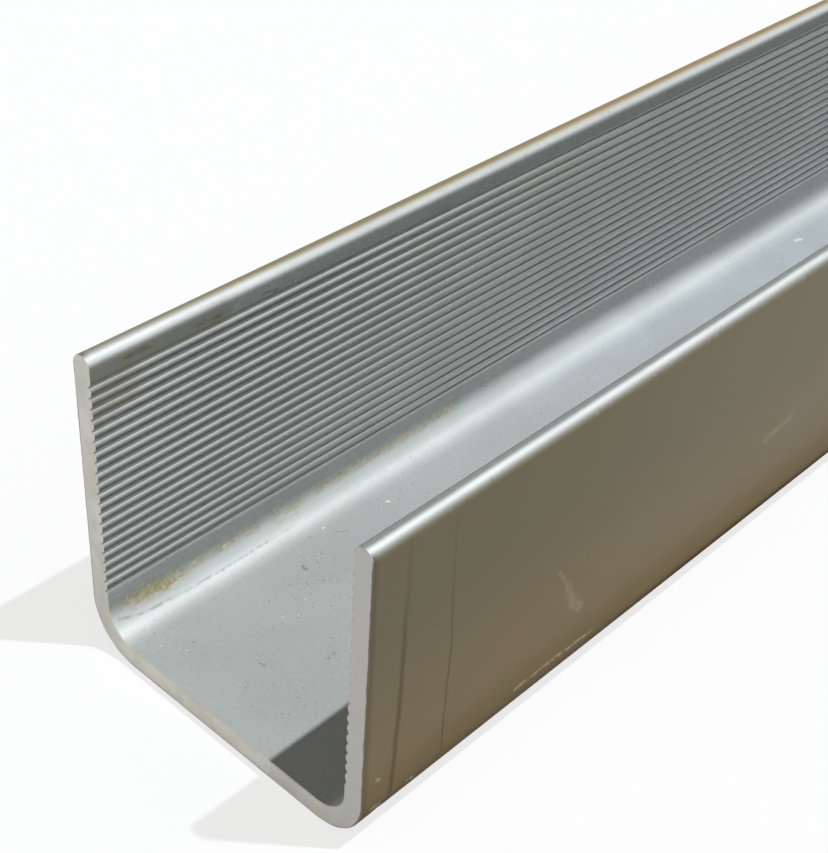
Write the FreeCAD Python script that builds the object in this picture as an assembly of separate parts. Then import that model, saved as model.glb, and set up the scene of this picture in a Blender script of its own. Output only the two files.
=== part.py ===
import FreeCAD, Part
import math
import os

# Handle profile: one length of extruded aluminium channel, lying on its web with the open side up.
# The length runs along Y, the width along X, and the two legs stand up along Z.
# The origin is on the underside, at the middle of the width and half way along the length.

# Stock length and the outside of the section.
length = 1000.0
width = 25.0
height = 23.5

# Wall of the web and of both legs, and the outside radius where they meet.
wall = 1.5
corner_radius = 3.8

# Fine ribs along the inner face of each leg, between a smooth band under the tip
# and a smooth band above the inside corner.
rib_pitch = 0.82
smooth_above = 2.0
smooth_below = 0.8

# Sizes that follow from the ones above.
outer_x = width / 2
inner_x = outer_x - wall
tip_radius = wall / 2
inside_radius = corner_radius - wall
groove_depth = rib_pitch / 4
first_groove = height - smooth_above
rib_room = first_groove - corner_radius - smooth_below - rib_pitch / 2
rib_count = int(rib_room / rib_pitch)
last_groove = first_groove - rib_count * rib_pitch
rib_radius = (rib_pitch ** 2 / 4 + groove_depth ** 2) / (2 * groove_depth)
half_lip = math.asin(rib_pitch / 2 / rib_radius) / 2


def point(side, x, z):
    return FreeCAD.Vector(side * x, 0, z)


def line(start, end):
    return Part.makeLine(start, end)


def arc(start, middle, end):
    return Part.Arc(start, middle, end).toShape()


def bend(side, centre_x, centre_z, radius, start, end):
    """Arc about a centre, from one angle to another in degrees, measured from the outward direction."""
    ends = []
    for angle in (start, (start + end) / 2, end):
        turn = math.radians(angle)
        ends.append(point(side, centre_x + radius * math.cos(turn), centre_z + radius * math.sin(turn)))
    return arc(*ends)


def lip(side, groove_z, up):
    """Half a rib, from a groove to where its rounded crest runs into the smooth face."""
    crest_z = groove_z + up * rib_pitch / 2
    middle_x = inner_x + rib_radius * (1 - math.cos(half_lip))
    middle_z = crest_z - up * rib_radius * math.sin(half_lip)
    groove = point(side, inner_x + groove_depth, groove_z)
    return arc(groove, point(side, middle_x, middle_z), point(side, inner_x, crest_z))


def ribs(side):
    """Full ribs from the first groove down to the last, each a round bead between sharp grooves."""
    beads = []
    for count in range(rib_count):
        top = first_groove - count * rib_pitch
        beads.append(
            arc(
                point(side, inner_x + groove_depth, top),
                point(side, inner_x, top - rib_pitch / 2),
                point(side, inner_x + groove_depth, top - rib_pitch),
            )
        )
    return beads


def leg(side):
    """Outline of one leg, from the underside of the web round the tip to the top of the web."""
    edges = [
        bend(side, outer_x - corner_radius, corner_radius, corner_radius, -90, 0),
        line(point(side, outer_x, corner_radius), point(side, outer_x, height - tip_radius)),
        bend(side, outer_x - tip_radius, height - tip_radius, tip_radius, 0, 180),
        line(point(side, inner_x, height - tip_radius), point(side, inner_x, first_groove + rib_pitch / 2)),
        lip(side, first_groove, 1),
    ]
    edges += ribs(side)
    edges += [
        lip(side, last_groove, -1),
        line(point(side, inner_x, last_groove - rib_pitch / 2), point(side, inner_x, corner_radius)),
        bend(side, inner_x - inside_radius, corner_radius, inside_radius, 0, -90),
    ]
    return edges


# Closed section: both legs, joined by the underside and the upper face of the web.
section = leg(1) + leg(-1)
for reach, z in ((outer_x - corner_radius, 0), (inner_x - inside_radius, wall)):
    section.append(line(point(1, reach, z), point(-1, reach, z)))
outline = Part.Wire(Part.sortEdges(section)[0])
outline.translate(FreeCAD.Vector(0, -length / 2, 0))

# The whole piece: the section pulled straight along the length and cut square at both ends.
handle_profile = Part.Face(outline).extrude(FreeCAD.Vector(0, length, 0))

os.makedirs("parts", exist_ok=True)
handle_profile.exportStep("parts/handle_profile.step")
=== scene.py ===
import math
import random

import bpy
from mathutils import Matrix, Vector, noise


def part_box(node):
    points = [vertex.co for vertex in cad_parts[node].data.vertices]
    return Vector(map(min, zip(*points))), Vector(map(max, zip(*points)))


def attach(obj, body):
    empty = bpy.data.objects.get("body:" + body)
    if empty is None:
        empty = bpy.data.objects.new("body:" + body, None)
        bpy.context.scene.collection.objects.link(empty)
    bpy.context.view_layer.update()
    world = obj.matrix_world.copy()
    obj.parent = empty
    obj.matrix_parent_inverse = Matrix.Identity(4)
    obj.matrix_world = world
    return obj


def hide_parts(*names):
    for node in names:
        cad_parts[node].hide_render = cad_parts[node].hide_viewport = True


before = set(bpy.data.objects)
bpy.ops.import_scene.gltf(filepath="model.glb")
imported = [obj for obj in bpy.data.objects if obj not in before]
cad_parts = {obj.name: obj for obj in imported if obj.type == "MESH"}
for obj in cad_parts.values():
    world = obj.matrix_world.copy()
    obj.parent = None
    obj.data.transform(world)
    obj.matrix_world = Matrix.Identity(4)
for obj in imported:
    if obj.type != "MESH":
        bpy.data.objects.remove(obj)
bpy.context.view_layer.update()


# Handle profile: one length of aluminium channel, pushed through a die and then anodised.
# It lies on its web with both legs up. Fine ribs line the inner faces of the legs, the leg
# tips are fully rounded, and both ends are sawn square and only lightly broken with a file.
MM = 0.001
low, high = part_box("handle_profile")
half_width = high.x / MM
height = high.z / MM
half_length = high.y / MM
wall = 1.5
corner_radius = 3.8
rib_pitch = 0.82
smooth_above = 2.0
smooth_below = 0.8
broken_edge = 0.06

inner_x = half_width - wall
inside_radius = corner_radius - wall
tip_radius = wall / 2
groove_depth = rib_pitch / 4
rib_radius = (rib_pitch ** 2 / 4 + groove_depth ** 2) / (2 * groove_depth)
rib_half_angle = math.degrees(math.asin(rib_pitch / 2 / rib_radius))
first_groove = height - smooth_above
rib_count = int((first_groove - corner_radius - smooth_below - rib_pitch / 2) / rib_pitch)
last_groove = first_groove - rib_count * rib_pitch
corner_steps, inside_steps, rib_steps = 24, 20, 10


def arc(centre_x, centre_z, radius, start, end, steps):
    """Points of a round stretch of the section, angles in degrees from the +X direction."""
    turns = [math.radians(start + (end - start) * step / steps) for step in range(steps + 1)]
    return [(centre_x + radius * math.cos(a), centre_z + radius * math.sin(a)) for a in turns]


def rib(crest_z, start, end, steps):
    """Part of one rib: a bead that bulges from the leg at +X towards the middle of the channel."""
    return arc(inner_x + rib_radius, crest_z, rib_radius, start, end, steps)


def leg_outline():
    """Outline of the leg at +X, from the underside, round the tip and down to the web's upper face."""
    points = arc(half_width - corner_radius, corner_radius, corner_radius, -90, 0, corner_steps)
    points += arc(half_width - tip_radius, height - tip_radius, tip_radius, 0, 180, corner_steps)
    points += rib(first_groove + rib_pitch / 2, 180, 180 + rib_half_angle, rib_steps // 2)
    for number in range(rib_count):
        crest_z = first_groove - (number + 0.5) * rib_pitch
        points += rib(crest_z, 180 - rib_half_angle, 180 + rib_half_angle, rib_steps)[1:]
    points += rib(last_groove - rib_pitch / 2, 180 - rib_half_angle, 180, rib_steps // 2)[1:]
    points += arc(inner_x - inside_radius, corner_radius, inside_radius, 0, -90, inside_steps)
    return points


near_leg = leg_outline()
outline = near_leg + [(-x, z) for x, z in reversed(near_leg)]
inward = []
for index in range(len(outline)):
    before, after = outline[index - 1], outline[(index + 1) % len(outline)]
    along = Vector((after[0] - before[0], after[1] - before[1])).normalized()
    inward.append((-along.y, along.x))

# Knocks in the edges: place from the sawn end, place in the section, radius and depth, all in mm.
# Two are on the near tip, two on the near corner, three under the web, and a row of small ones
# follows along the near tip.
dice = random.Random(11)
shoulder_x, shoulder_z = half_width - 0.12, height - 0.38
knocks = [
    (40.8, shoulder_x, shoulder_z, 0.28, 0.09),
    (6.0, shoulder_x, shoulder_z, 0.2, 0.04),
    (0.7, half_width, 4.2, 0.45, 0.14),
    (1.8, half_width - 0.6, 1.9, 0.5, 0.16),
    (0.2, -1.0, 0.0, 0.3, 0.12),
    (0.2, 1.4, 0.0, 0.35, 0.14),
    (0.2, 8.4, 0.0, 0.25, 0.1),
]
small_knocks = 9
for _ in range(small_knocks):
    along = dice.uniform(17.5, 31.0)
    radius = dice.uniform(0.12, 0.24)
    knocks.append((along, shoulder_x, shoulder_z, radius, radius * 0.25))

# The near end is filed by hand, so its broken edge comes and goes along the section.
uneven_filing = 0.9
file_waves_per_mm = 0.9


def section(from_end, pulled_in=0.0):
    """The outline at a distance from the near sawn end, moved into the metal by knocks and filing."""
    ring = []
    for (x, z), (in_x, in_z) in zip(outline, inward):
        wave = noise.noise((x * file_waves_per_mm, z * file_waves_per_mm, from_end))
        depth = pulled_in * (1 + uneven_filing * wave)
        for knock_y, knock_x, knock_z, radius, deepest in knocks:
            apart = ((from_end - knock_y) ** 2 + (x - knock_x) ** 2 + (z - knock_z) ** 2) / radius ** 2
            if apart < 1:
                depth += deepest * (1 - apart) ** 2
        ring.append(Vector((x + in_x * depth, from_end - half_length, z + in_z * depth)) * MM)
    return ring


plain_from = 60.0
across_a_knock = (-1.0, -0.55, -0.2, 0.2, 0.55, 1.0)
stations = {broken_edge, plain_from}
for knock_y, _, _, radius, _ in knocks:
    stations.update(knock_y + radius * share for share in across_a_knock)
stations = sorted(station for station in stations if station >= broken_edge)
rings = [section(0.0, broken_edge)] + [section(station) for station in stations]
for back, pulled_in in ((broken_edge, 0.0), (0.0, broken_edge)):
    ring = []
    for (x, z), (in_x, in_z) in zip(outline, inward):
        ring.append(Vector((x + in_x * pulled_in, half_length - back, z + in_z * pulled_in)) * MM)
    rings.append(ring)

count = len(outline)
vertices = [point for ring in rings for point in ring]
sides = []
for first in range(0, len(vertices) - count, count):
    for index in range(count):
        other = (index + 1) % count
        sides.append((first + index, first + other, first + count + other, first + count + index))
ends = [tuple(reversed(range(count))), tuple(range(len(vertices) - count, len(vertices)))]

mesh = bpy.data.meshes.new("handle_profile_skin")
mesh.from_pydata(vertices, [], sides + ends)
for face in mesh.polygons:
    face.use_smooth = True
    bare = face.index < count or face.index >= len(sides) - count
    face.material_index = 1 if bare else 0
mesh.set_sharp_from_angle(angle=math.radians(30))
profile = bpy.data.objects.new("handle_profile_skin", mesh)
bpy.context.scene.collection.objects.link(profile)


def linear(hex_colour):
    """An sRGB hex colour as the linear colour that a shader takes."""
    values = [int(hex_colour[i : i + 2], 16) / 255 for i in (1, 3, 5)]
    return [v / 12.92 if v <= 0.04045 else ((v + 0.055) / 1.055) ** 2.4 for v in values] + [1.0]


def add(tree, kind, inputs=None, **settings):
    """Adds one node with its settings; inputs are values or the sockets that feed it."""
    made = tree.nodes.new(kind)
    for name, value in settings.items():
        setattr(made, name, value)
    for name, value in (inputs or {}).items():
        if isinstance(value, bpy.types.NodeSocket):
            tree.links.new(value, made.inputs[name])
        else:
            made.inputs[name].default_value = value
    return made


def from_sawn_end(tree):
    """Where a point of the surface lies, in mm: across, along from the sawn end, and up."""
    place = add(tree, "ShaderNodeTexCoord").outputs["Object"]
    scaled = add(tree, "ShaderNodeVectorMath", {0: place, "Scale": 1 / MM}, operation="SCALE").outputs[0]
    return add(tree, "ShaderNodeVectorMath", {0: scaled, 1: (0, half_length, 0)}, operation="ADD").outputs[0]


def where(tree, *limits):
    """How strongly all the limits hold together. Each is a share, or a value with where it starts to
    count and where it counts fully, followed, if need be, by the most and the least that it gives."""
    share = 1.0
    for limit in limits:
        if isinstance(limit, tuple):
            value, start, full, most, least = limit + (1.0, 0.0)[len(limit) - 3 :]
            soft_step = {"Value": value, "From Min": start, "From Max": full, "To Min": least, "To Max": most}
            limit = add(tree, "ShaderNodeMapRange", soft_step, interpolation_type="SMOOTHSTEP").outputs[0]
        share = add(tree, "ShaderNodeMath", {0: share, 1: limit}, operation="MULTIPLY").outputs[0]
    return share


def lay_over(tree, below, above, *limits):
    """Lays a colour over another where the limits hold; each is a hex colour or one made before."""
    below, above = (linear(each) if isinstance(each, str) else each for each in (below, above))
    layers = {0: where(tree, *limits), 6: below, 7: above}
    return add(tree, "ShaderNodeMix", layers, data_type="RGBA").outputs[2]


def corner_distance(tree, place):
    """Distance in mm from the axis of the nearer outer corner, which is its radius on the outer faces."""
    folded = add(tree, "ShaderNodeVectorMath", {0: place}, operation="ABSOLUTE").outputs[0]
    apart = {0: folded, 1: (1, 0, -1), 2: (corner_radius - half_width, 0, corner_radius)}
    apart = add(tree, "ShaderNodeVectorMath", apart, operation="MULTIPLY_ADD").outputs[0]
    apart = add(tree, "ShaderNodeVectorMath", {0: apart, 1: (0, 0, 0)}, operation="MAXIMUM").outputs[0]
    return add(tree, "ShaderNodeVectorMath", {0: apart}, operation="LENGTH").outputs["Value"]


def strokes(tree, place, marks):
    """Where straight marks lie on the surface, each given by its two ends and its width in mm."""
    share = 0.0
    for start, end, width in marks:
        span = Vector(end) - Vector(start)
        offset = add(tree, "ShaderNodeVectorMath", {0: place, 1: start}, operation="SUBTRACT").outputs[0]
        pace = {0: offset, 1: span / span.length_squared}
        along = add(tree, "ShaderNodeVectorMath", pace, operation="DOT_PRODUCT").outputs["Value"]
        along = add(tree, "ShaderNodeClamp", {0: along}).outputs[0]
        nearest = add(tree, "ShaderNodeVectorMath", {0: span, "Scale": along}, operation="SCALE").outputs[0]
        apart = add(tree, "ShaderNodeVectorMath", {0: offset, 1: nearest}, operation="DISTANCE")
        mark = where(tree, (apart.outputs["Value"], width / 2, width / 8))
        share = add(tree, "ShaderNodeMath", {0: mark, 1: share}, operation="MAXIMUM").outputs[0]
    return share


# Satin anodised aluminium: the metal is etched before it is anodised, so it is dull, pale and
# slightly cool, with a soft wide gleam on its round edges, a fine etched mottle and die lines.
# The real grain and lines are finer still: both are drawn as coarse as the picture needs.
skin = bpy.data.materials.new("satin anodised aluminium")
skin.use_nodes = True
tree = skin.node_tree
surface = tree.nodes["Principled BSDF"]
place = from_sawn_end(tree)
axes = add(tree, "ShaderNodeSeparateXYZ", {0: place}).outputs

etch_grain = 0.3
grain = {"Vector": place, "Scale": 1 / etch_grain, "Detail": 3, "Roughness": 0.6}
grain = add(tree, "ShaderNodeTexNoise", grain).outputs["Fac"]
die_line_width, die_line_length = 0.22, 70
along_die = (1 / die_line_width, 1 / die_line_length, 1 / die_line_width)
drawn = add(tree, "ShaderNodeVectorMath", {0: place, 1: along_die}, operation="MULTIPLY").outputs[0]
die_lines = add(tree, "ShaderNodeTexNoise", {"Vector": drawn, "Scale": 1, "Detail": 2}).outputs["Fac"]
cloud_size = 6
clouds = {"Vector": place, "Scale": 1 / cloud_size, "Detail": 3, "Roughness": 0.6}
clouds = add(tree, "ShaderNodeTexNoise", clouds).outputs["Fac"]

# Painted light and shade on the faces: the web is painted paler away from the sawn end as a painted sheen,
# the legs' inner faces are painted duller than the web as painted shade, with a darker band of painted shade
# high over the ribs, and the inside corners and leg tips are painted pale as painted highlights.
beside = add(tree, "ShaderNodeMath", {0: axes["X"]}, operation="ABSOLUTE").outputs[0]
# Painted sheen: the web is paler away from the sawn end.
web_tone = lay_over(tree, "#b2b5b4", "#babfc4", (axes["Y"], 10, 70))
wall_line = {0: where(tree, (axes["Y"], 45, 80)), 1: 0.7, 2: axes["Z"]}
wall_line = add(tree, "ShaderNodeMath", wall_line, operation="MULTIPLY_ADD").outputs[0]
# Painted shade: the legs' inner faces are darker than the web.
colour = lay_over(tree, web_tone, "#9ea2a0", (wall_line, 3.1, 3.9))
# Painted shade: a darker band high on the inner faces of both legs.
colour = lay_over(tree, colour, "#8d9291", (beside, 10, 10.8), (axes["Z"], 20, 22))

# Painted shade under every rib and painted light over it, near the sawn end. It thins out along the ribs and
# down the leg, where
# the picture loses their lines: from there on the paint evens out the light and shade of each rib.
away = add(tree, "ShaderNodeMath", {0: axes["Y"], 1: axes["Z"]}, operation="SUBTRACT").outputs[0]
rib_shading_full_until, rib_evening_full_from = -8, 42
full_turn = 2 * math.pi
to_rib = {0: axes["Z"], 1: -full_turn / rib_pitch, 2: full_turn * first_groove / rib_pitch}
to_rib = add(tree, "ShaderNodeMath", to_rib, operation="MULTIPLY_ADD").outputs[0]
below_groove = where(tree, (away, rib_shading_full_until, rib_evening_full_from, 0.12 * full_turn, 0.06 * full_turn))
to_rib = add(tree, "ShaderNodeMath", {0: to_rib, 1: below_groove}, operation="SUBTRACT").outputs[0]
upper_side = add(tree, "ShaderNodeMath", {0: to_rib}, operation="COSINE").outputs[0]
upper_side = add(tree, "ShaderNodeMapRange", {"Value": upper_side, "From Min": -1}).outputs[0]
near_the_end = where(tree, (away, rib_evening_full_from, rib_shading_full_until))
# Painted shade under each rib near the sawn end, painted light under it further along.
painted_under_rib = lay_over(tree, "#cdd2d1", "#575a59", near_the_end)
# Painted light over each rib near the sawn end, painted shade over it further along.
painted_over_rib = lay_over(tree, "#838786", "#c9cbcb", near_the_end)
over_lowest = (axes["Z"], last_groove - 0.15, last_groove)
under_highest = (axes["Z"], first_groove + 0.42, first_groove + 0.3)
ribbed = where(tree, over_lowest, under_highest, (beside, 11.5, 11.3))
colour = lay_over(tree, colour, lay_over(tree, painted_under_rib, painted_over_rib, upper_side), ribbed)

# Painted highlight: the inside corners are painted pale.
colour = lay_over(tree, colour, "#d4d8d8", (axes["Z"], 1.6, 2.05), (wall_line, 3.4, 2.6))
near_tip = where(tree, (axes["X"], 11.66, 11.97))
far_tip = where(tree, (axes["X"], -10.95, -11.15))
tips = add(tree, "ShaderNodeMath", {0: near_tip, 1: far_tip}, operation="ADD").outputs[0]
raised = {0: where(tree, (axes["Y"], 25, 50)), 1: 0.15, 2: axes["Z"]}
raised = add(tree, "ShaderNodeMath", raised, operation="MULTIPLY_ADD").outputs[0]
# Painted highlight: the leg tips are painted pale, reaching lower away from the end.
colour = lay_over(tree, colour, "#dadee0", tips, (raised, height - 0.75, height - 0.4))
colour = lay_over(tree, colour, "#6f7371", (clouds, 0.35, 0.65, 0.1))
colour = lay_over(tree, colour, "#dde1e1", (grain, 0.42, 0.7, 0.08))
colour = lay_over(tree, colour, "#6f7371", (grain, 0.48, 0.28, 0.08))

# Pits and specks of dirt in the anodised film, crowded in some places and rare in others.
crowd_size = 4
crowds = {"Vector": place, "Scale": 1 / crowd_size, "Detail": 2}
crowds = add(tree, "ShaderNodeTexNoise", crowds).outputs["Fac"]
smooth_face = where(tree, (ribbed, 0.6, 0.2))
for speck_spacing, speck_size, speck_colour, weight, shift in (
    (0.7, 0.18, "#7d8280", 0.5, 0),
    (1.5, 0.2, "#55574f", 0.45, 40),
    (0.9, 0.16, "#e6ebeb", 0.5, 80),
):
    moved = {0: place, 1: (shift, shift, shift)}
    moved = add(tree, "ShaderNodeVectorMath", moved, operation="ADD").outputs[0]
    cells = {"Vector": moved, "Scale": 1 / speck_spacing, "Randomness": 1}
    cells = add(tree, "ShaderNodeTexVoronoi", cells).outputs["Distance"]
    reach = where(tree, (crowds, 0.36, 0.64, speck_size / 2 / speck_spacing))
    beyond = add(tree, "ShaderNodeMath", {0: cells, 1: reach}, operation="SUBTRACT").outputs[0]
    colour = lay_over(tree, colour, speck_colour, smooth_face, (beyond, 0.03, -0.04, weight))

# Flecks and a broken scratch on the web and in the far inside corner. Like all marks that follow,
# they waver by a fraction of a millimetre, and fine noise breaks them up.
wobble_size, wobble_reach = 1.6, 0.25
wobble = {"Vector": place, "Scale": 1 / wobble_size, "Detail": 2}
wobble = add(tree, "ShaderNodeTexNoise", wobble).outputs["Color"]
wobble = add(tree, "ShaderNodeVectorMath", {0: wobble, 1: (0.5, 0.5, 0.5)}, operation="SUBTRACT").outputs[0]
wavering = {0: wobble, 1: (wobble_reach, wobble_reach, wobble_reach), 2: place}
unsteady = add(tree, "ShaderNodeVectorMath", wavering, operation="MULTIPLY_ADD").outputs[0]
streak_width, streak_length = 0.3, 1.1
along_streak = (1 / streak_width, 1 / streak_length, 1 / streak_width)
streaks = add(tree, "ShaderNodeVectorMath", {0: place, 1: along_streak}, operation="MULTIPLY").outputs[0]
streaks = add(tree, "ShaderNodeTexNoise", {"Vector": streaks, "Scale": 1, "Detail": 3}).outputs["Fac"]
fleck_size = 0.5
flecking = {"Vector": place, "Scale": 1 / fleck_size, "Detail": 2}
flecking = add(tree, "ShaderNodeTexNoise", flecking).outputs["Fac"]
dark_flecks = [
    ((-5.5, 13.1, wall), (-4.9, 14.6, wall), 1.1),
    ((-6.7, 13.9, wall), (-6.9, 15.7, wall), 1.3),
    ((-8.8, 16.4, wall), (-6.8, 19.3, wall), 1.0),
    ((0.6, 8.8, wall), (-0.2, 10.6, wall), 1.2),
    ((-2.2, 5.0, wall), (-1.3, 5.9, wall), 1.0),
]
dark_flecks = strokes(tree, unsteady, dark_flecks)
colour = lay_over(tree, colour, "#686c68", dark_flecks, (flecking, 0.56, 0.66, 0.6))
pale_flecks = [
    ((-7.85, 23.3, wall), (-7.75, 23.4, wall), 0.38),
    ((-8.9, 17.7, wall), (-8.9, 17.8, wall), 0.25),
    ((-8.2, 79.5, wall), (-8.0, 80.1, wall), 0.6),
    ((-10.94, 7.2, 3.3), (-10.94, 7.4, 3.3), 0.4),
    ((-10.91, 9.9, 3.16), (-10.91, 10.1, 3.16), 0.35),
]
pale_flecks = strokes(tree, unsteady, pale_flecks)
colour = lay_over(tree, colour, "#efeddf", pale_flecks, 0.75)
scratch = [
    ((-10.65, 0.5, 2.55), (-10.3, 2.8, 2.15), 0.34),
    ((-10.3, 2.8, 2.15), (-10.14, 6.7, 2.0), 0.34),
    ((-10.14, 6.7, 2.0), (-10.15, 16.0, 2.0), 0.3),
]
scratch = strokes(tree, unsteady, scratch)
colour = lay_over(tree, colour, "#747776", scratch, (flecking, 0.38, 0.62, 0.45, 0.1))

# Old grime: furry golden streaks in the far inside corner, a blotchy stain on the far top band.
grime = [
    ((-10.96, 1.7, 3.4), (-10.86, 6.0, 3.0), 2.2),
    ((-10.94, 7.4, 3.25), (-10.92, 13.0, 3.2), 1.3),
    ((-10.88, 15.0, 3.1), (-10.88, 16.9, 3.05), 2.0),
    ((-10.92, 19.0, 3.2), (-10.94, 34.0, 3.3), 1.2),
]
grime = strokes(tree, unsteady, grime)
grime = where(tree, grime, (streaks, 0.32, 0.68), (axes["Y"], 5.5, 8, 0.7, 1.0))
colour = lay_over(tree, colour, "#958653", grime, 0.6)
thick_grime = strokes(tree, unsteady, [((-10.95, 2.4, 3.25), (-10.87, 5.2, 3.05), 1.2)])
colour = lay_over(tree, colour, "#a09252", thick_grime, (streaks, 0.25, 0.6, 0.65, 0.2))
# Painted glints: pale golden spots scattered through the grime.
colour = lay_over(tree, colour, "#d3c898", grime, (grain, 0.46, 0.6, 0.85))
stain = strokes(tree, unsteady, [((-inner_x, -1.0, 22.2), (-inner_x, 10.5, 22.3), 2.2)])
colour = lay_over(tree, colour, "#7d7763", stain, (grain, 0.35, 0.65, 0.65, 0.3))
rib_stain = strokes(tree, unsteady, [((-inner_x, -1.0, 19.4), (-inner_x, 2.6, 20.4), 4.2)])
colour = lay_over(tree, colour, "#7a7448", rib_stain, 0.3)
blots = [
    ((-inner_x, 2.6, 22.5), (-inner_x, 4.8, 22.6), 0.6),
    ((-inner_x, 8.4, 22.3), (-inner_x, 10.3, 22.3), 0.6),
    ((-inner_x, 13.8, 22.2), (-inner_x, 15.9, 21.9), 0.42),
]
blots = strokes(tree, unsteady, blots)
colour = lay_over(tree, colour, "#564c33", blots, (streaks, 0.35, 0.65, 0.6))

# Painted reflection: the outer faces are painted olive-brown, as though they mirrored brown surroundings,
# darkest on the near leg.
# The paint reaches over the far tip away from the end, and keeps to the outer side of the near one.
near_side = where(tree, (axes["X"], -4, 9))
from_corner = corner_distance(tree, place)
near_reach = where(tree, (from_corner, corner_radius - 0.5, corner_radius))
shifted_corner_distance = {0: from_corner, 1: where(tree, (axes["Y"], 6, 24, 0.17))}
shifted_corner_distance = add(tree, "ShaderNodeMath", shifted_corner_distance, operation="ADD").outputs[0]
far_reach = where(tree, (shifted_corner_distance, corner_radius - 1.3, corner_radius - 0.6))
outside = {"Value": near_side, "To Min": far_reach, "To Max": near_reach}
outside = add(tree, "ShaderNodeMapRange", outside).outputs[0]
# Painted reflection on the near leg: darker and browner towards the foot, with a paler band low down and warm
# patches.
near_brown_reflection = lay_over(tree, "#6d644f", "#77694e", (axes["Z"], 18, 8))
near_brown_reflection = lay_over(tree, near_brown_reflection, "#80786a", (axes["Y"], 8, 50, 0.5), (axes["Z"], 4, 10))
near_brown_reflection = lay_over(tree, near_brown_reflection, "#6c5c3a", (axes["Z"], 7, 3.6))
near_brown_reflection = lay_over(tree, near_brown_reflection, "#7d6647", (clouds, 0.42, 0.7, 0.25), (axes["Z"], 15, 9))
# Painted reflection on the far leg: warmer away from the end, greyer close to it.
far_brown_reflection = lay_over(tree, "#8e8466", "#998563", (axes["Y"], 25, 50))
far_brown_reflection = lay_over(tree, far_brown_reflection, "#8d8b83", (axes["Y"], 12, 2, 0.7))
colour = lay_over(tree, colour, lay_over(tree, far_brown_reflection, near_brown_reflection, near_side), outside)

# Marks on the near outer face: two dark drag lines across it, pale smears and rubs, dirt with painted dark
# reflection along its foot, and painted shade along the sawn rim.
drag_lines = [
    ((half_width, 2.85, 23.0), (half_width, 2.75, 12.0), 0.55),
    ((half_width, 2.75, 12.0), (half_width, 2.4, 2.8), 0.6),
    ((half_width, 6.4, 22.4), (half_width, 6.9, 12.8), 0.22),
    ((half_width, 6.9, 12.8), (half_width, 6.8, 2.8), 0.24),
]
drag_lines = strokes(tree, unsteady, drag_lines)
colour = lay_over(tree, colour, "#3b3222", drag_lines, (axes["Z"], 28, 9, 0.55))
smear = [
    ((half_width, 17.0, 11.8), (half_width, 18.1, 9.8), 0.5),
    ((half_width, 18.1, 9.8), (half_width, 18.8, 8.1), 0.9),
    ((half_width, 18.8, 8.1), (half_width, 19.7, 7.1), 1.2),
    ((half_width, 40.3, 9.8), (half_width, 43.6, 10.3), 0.9),
]
smear = strokes(tree, unsteady, smear)
colour = lay_over(tree, colour, "#b0a88c", smear, (flecking, 0.35, 0.6, 0.26, 0.14))
# Dirt with painted dark brown reflection along the foot of the outer faces.
foot = where(tree, outside, (axes["Z"], 4.1, 2.6), (axes["Y"], 18, 34, 0.95, 0.75))
colour = lay_over(tree, colour, "#4b3716", foot, (streaks, 0.3, 0.6, 1.0, 0.7))
# Painted shade: a dark band on the outer faces along the sawn rim.
colour = lay_over(tree, colour, "#4a4434", outside, (axes["Y"], 0.6, 0.1, 0.5))
rubs = [
    ((half_width, 13.8, 3.8), (half_width, 16.7, 3.92), 0.42),
    ((half_width, 16.7, 3.92), (half_width, 21.6, 3.75), 0.42),
    ((half_width, 1.2, 5.4), (half_width, 1.35, 5.3), 0.5),
    ((12.4, 4.0, 3.1), (12.4, 4.4, 3.0), 0.5),
    ((12.35, 0.9, 3.1), (12.35, 1.6, 2.95), 0.6),
]
rubs = strokes(tree, unsteady, rubs)
colour = lay_over(tree, colour, "#b9ae86", rubs, (grain, 0.42, 0.6, 0.55, 0.1))

# The anodised film scatters, so little of the light mirrors off the metal, and least on the outer faces,
# under the painted brown reflection, and along the foot; grime is rougher than the satin face.
tree.links.new(colour, surface.inputs["Base Color"])
metal = {"Value": outside, "To Min": 0.2, "To Max": 0.04}
tree.links.new(add(tree, "ShaderNodeMapRange", metal).outputs[0], surface.inputs["Metallic"])
shine = {"Value": outside, "To Min": 0.5, "To Max": 0.12}
shine = add(tree, "ShaderNodeMapRange", shine).outputs[0]
tree.links.new(where(tree, shine, (foot, 1.0, 0.2)), surface.inputs["Specular IOR Level"])
rough = {"Value": grime, "To Min": 0.55, "To Max": 0.8}
tree.links.new(add(tree, "ShaderNodeMapRange", rough).outputs[0], surface.inputs["Roughness"])
relief = add(tree, "ShaderNodeMath", {0: die_lines, 1: grain}, operation="ADD").outputs[0]
bump = add(tree, "ShaderNodeBump", {"Strength": 0.12, "Distance": 0.00001, "Height": relief})
tree.links.new(bump.outputs["Normal"], surface.inputs["Normal"])
mesh.materials.append(skin)

# Sawn aluminium: bare metal behind the anodised skin, a little warmer and smeared by the blade,
# duller on the near leg, and with a ragged dark brown line of painted shade and painted brown reflection
# along its outer edge.
# The blade's marks are drawn somewhat coarser than real ones.
cut = bpy.data.materials.new("sawn bare aluminium")
cut.use_nodes = True
tree = cut.node_tree
surface = tree.nodes["Principled BSDF"]
place = from_sawn_end(tree)
axes = add(tree, "ShaderNodeSeparateXYZ", {0: place}).outputs
saw_mark_width, saw_mark_length = 0.16, 5
along_saw = (1 / saw_mark_length, 1 / saw_mark_length, 1 / saw_mark_width)
sawn = add(tree, "ShaderNodeVectorMath", {0: place, 1: along_saw}, operation="MULTIPLY").outputs[0]
saw_marks = add(tree, "ShaderNodeTexNoise", {"Vector": sawn, "Scale": 1, "Detail": 3}).outputs["Fac"]
smear_size = 2.5
smears = {"Vector": place, "Scale": 1 / smear_size, "Detail": 4, "Roughness": 0.6}
smears = add(tree, "ShaderNodeTexNoise", smears).outputs["Fac"]
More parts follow.
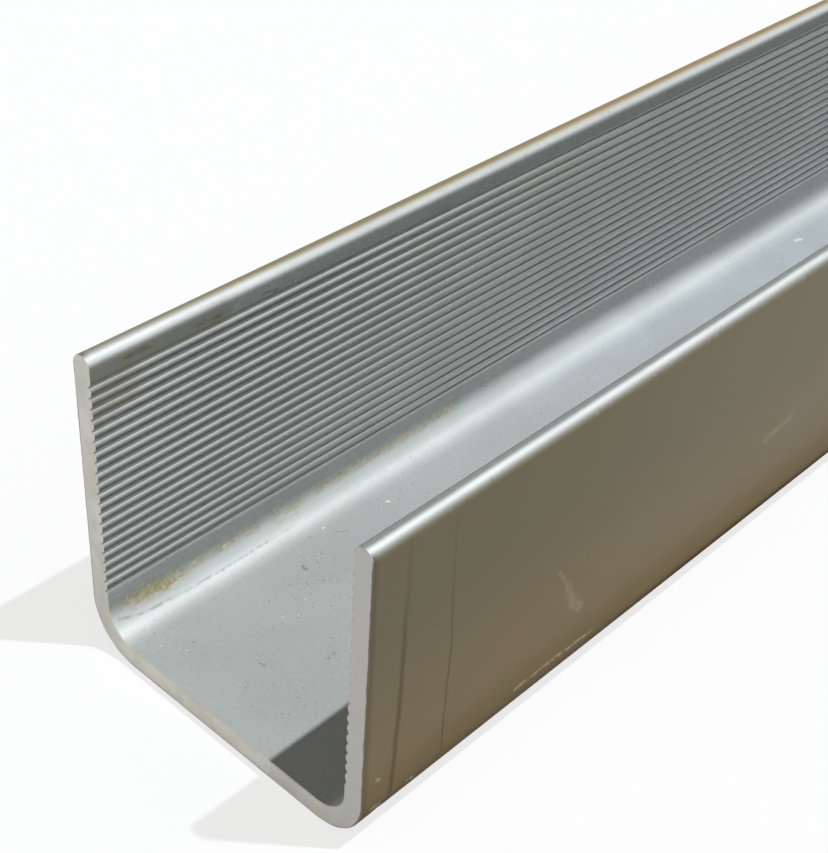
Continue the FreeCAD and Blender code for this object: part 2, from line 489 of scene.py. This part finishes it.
tone = lay_over(tree, "#cfccc2", "#dddbd3", (smears, 0.35, 0.65))
tone = lay_over(tree, tone, "#c0bdba", (axes["X"], 9.5, 11.5, 0.9))
# Painted shade and painted brown reflection: a ragged dark line along the outer edge of the end face.
ragged = {0: smears, 1: 0.3, 2: corner_distance(tree, place)}
ragged = add(tree, "ShaderNodeMath", ragged, operation="MULTIPLY_ADD").outputs[0]
tone = lay_over(tree, tone, "#6b5b3f", (ragged, corner_radius, corner_radius + 0.1, 0.9))
tree.links.new(tone, surface.inputs["Base Color"])
surface.inputs["Metallic"].default_value = 0.5
surface.inputs["Roughness"].default_value = 0.5
bump = add(tree, "ShaderNodeBump", {"Strength": 0.3, "Distance": 0.00001, "Height": saw_marks})
tree.links.new(bump.outputs["Normal"], surface.inputs["Normal"])
mesh.materials.append(cut)

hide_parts("handle_profile")
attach(profile, "root")


# Studio: a plain pale floor, one lamp high over the +X side as in the photo, a wide soft one
# beyond it and a weak fill. Camera and metal see the floor almost white, without added light.
floor_reach = 4.0
corners = [(-1, -1), (1, -1), (1, 1), (-1, 1)]
corners = [(x * floor_reach, y * floor_reach, low.z) for x, y in corners]
floor_mesh = bpy.data.meshes.new("floor")
floor_mesh.from_pydata(corners, [], [(0, 1, 2, 3)])
floor = bpy.data.objects.new("floor", floor_mesh)
bpy.context.scene.collection.objects.link(floor)


def seen_directly(tree, share):
    """A share that counts only for what the camera, a reflection or a glass sees."""
    rays = add(tree, "ShaderNodeLightPath").outputs
    either = {0: rays["Is Camera Ray"], 1: rays["Is Glossy Ray"]}
    seen = add(tree, "ShaderNodeMath", either, operation="MAXIMUM").outputs[0]
    either = {0: seen, 1: rays["Is Transmission Ray"]}
    seen = add(tree, "ShaderNodeMath", either, operation="MAXIMUM").outputs[0]
    return where(tree, seen, share)


paint = bpy.data.materials.new("pale matt board")
paint.use_nodes = True
tree = paint.node_tree
board = tree.nodes["Principled BSDF"]
board.inputs["Base Color"].default_value = linear("#f0f0f0")
board.inputs["Roughness"].default_value = 0.9
board.inputs["Specular IOR Level"].default_value = 0.1
whiteness = 0.78
white = add(tree, "ShaderNodeEmission", {"Color": (1, 1, 1, 1), "Strength": 1})
blend = {0: seen_directly(tree, whiteness), 1: board.outputs[0], 2: white.outputs[0]}
blend = add(tree, "ShaderNodeMixShader", blend)
tree.links.new(blend.outputs[0], tree.nodes["Material Output"].inputs["Surface"])
floor_mesh.materials.append(paint)

for name, elevation, lean, energy, width, tint in (
    ("key", 73.1, 14, 2.8, 1.0, (0.95, 1.0, 1.0)),
    ("window", 50, 27, 0.25, 40, (1.0, 1.0, 1.0)),
):
    lamp_data = bpy.data.lights.new(name, "SUN")
    lamp_data.energy = energy
    lamp_data.angle = math.radians(width)
    lamp_data.color = tint
    lamp = bpy.data.objects.new(name, lamp_data)
    up, over = math.sin(math.radians(elevation)), math.cos(math.radians(elevation))
    beyond = math.tan(math.radians(lean))
    lamp.rotation_euler = Vector((over, beyond, up)).to_track_quat("Z", "Y").to_euler()
    bpy.context.scene.collection.objects.link(lamp)

# The sky is pale round the horizon and dimmer overhead for what is seen directly, and lights the
# object only by the weak, slightly warm fill. Behind the floor the camera sees plain white.
fill = 0.2
ceiling = 0.4
world = bpy.data.worlds.new("soft fill")
world.use_nodes = True
tree = world.node_tree
sky = tree.nodes["Background"]
backdrop = add(tree, "ShaderNodeLightPath").outputs["Is Camera Ray"]
tree.links.new(lay_over(tree, "#fffbf3", "#ffffff", backdrop), sky.inputs["Color"])
rise = add(tree, "ShaderNodeTexCoord").outputs["Generated"]
rise = add(tree, "ShaderNodeSeparateXYZ", {0: rise}).outputs["Z"]
horizon = {"Value": rise, "From Min": 0.3, "From Max": 0.5, "To Min": 1 - fill, "To Max": ceiling - fill}
horizon = add(tree, "ShaderNodeMapRange", horizon).outputs[0]
level = {0: seen_directly(tree, horizon), 1: fill}
tree.links.new(add(tree, "ShaderNodeMath", level, operation="ADD").outputs[0], sky.inputs["Strength"])
bpy.context.scene.world = world


# Camera: close above the near sawn end, on the +X side, looking down along the channel. Place in mm
# and turns in degrees, both fitted to the edges of the profile as the photo shows them.
beside_middle, before_end, over_floor = 54.586, 45.898, 78.966
camera_turns = (52.882, -2.989, 43.322)
camera_data = bpy.data.cameras.new("camera")
camera_data.lens = 68.84
camera_data.sensor_width = 36.0
camera_data.clip_start = 0.005
camera_data.clip_end = 20
camera = bpy.data.objects.new("camera", camera_data)
camera.location = Vector((beside_middle, -before_end - half_length, over_floor)) * MM
camera.rotation_euler = [math.radians(turn) for turn in camera_turns]
bpy.context.scene.collection.objects.link(camera)
bpy.context.scene.camera = camera

bpy.context.scene.view_settings.view_transform = "Standard"
